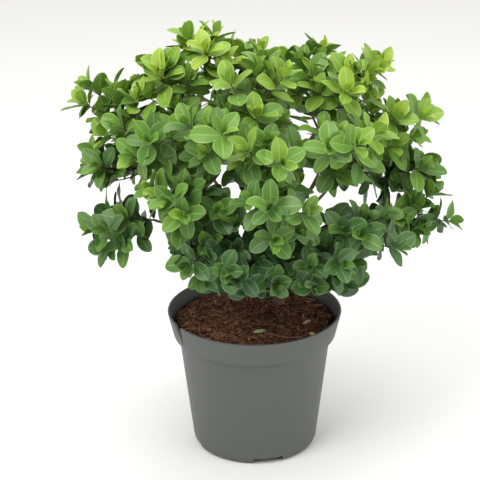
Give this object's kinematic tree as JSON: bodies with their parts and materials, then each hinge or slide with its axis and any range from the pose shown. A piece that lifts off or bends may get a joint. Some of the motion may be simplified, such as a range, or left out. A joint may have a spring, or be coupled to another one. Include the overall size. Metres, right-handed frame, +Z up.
{
  "type": "potted irish luck kohuhu",
  "caption": "Bushy evergreen shrub with wavy oval leaves in whorls on many slender stems, growing from bark mulch in a round grey nursery pot.",
  "frame": {"origin": "centre of the pot's flat underside", "axes": "+Z up along the pot's axis, -Y towards the front of the plant, +X to the right seen from the front"},
  "size_m": [0.3627, 0.3261, 0.4079],
  "materials": {
    "pot_plastic": "dark grey, matte, lightly scuffed",
    "bark_mulch": "rough reddish-brown bark fibre",
    "bark": "grey-brown, finely cracked",
    "young_leaf": "satin yellow-green",
    "grown_leaf": "satin mid green",
    "old_leaf": "satin dark green"
  },
  "bodies": {
    "root": {"pot": "pot_plastic", "soil": "bark_mulch", "trunk": "bark", "bough_left": "bark", "bough_left_low": "bark", "bough_left_upper": "bark", "bough_centre_left": "bark", "bough_front_upper": "bark", "bough_front": "bark", "bough_front_left": "bark", "bough_right_top": "bark", "bough_right_front": "bark", "bough_right_upper": "bark", "bough_right": "bark", "bough_right_low": "bark", "bough_back": "bark", "bough_back_left": "bark", "bough_back_right": "bark", "foliage_left_tip": "young_leaf", "foliage_left_mid": "grown_leaf", "foliage_left_low": "grown_leaf", "foliage_left_upper": "young_leaf", "foliage_left_front": "grown_leaf", "foliage_top_left": "young_leaf", "foliage_top_back": "young_leaf", "foliage_top_front": "young_leaf", "foliage_front_left_upper": "grown_leaf", "foliage_front_upper": "grown_leaf", "foliage_top_right": "young_leaf", "foliage_right_top": "young_leaf", "foliage_right_upper": "young_leaf", "foliage_right_mid": "grown_leaf", "foliage_right_low": "grown_leaf", "foliage_right_front_upper": "young_leaf", "foliage_right_front": "grown_leaf", "foliage_front_right_low": "grown_leaf", "foliage_front_mid": "grown_leaf", "foliage_front_low": "old_leaf", "foliage_front_left": "grown_leaf", "foliage_front_left_low": "grown_leaf", "foliage_skirt_front": "old_leaf", "foliage_skirt_right": "old_leaf", "foliage_back_left": "grown_leaf", "foliage_back_left_upper": "young_leaf", "foliage_back_mid": "grown_leaf", "foliage_back_low": "grown_leaf", "foliage_back_right_upper": "young_leaf", "foliage_back_right": "grown_leaf"}
  },
  "joints": []
}
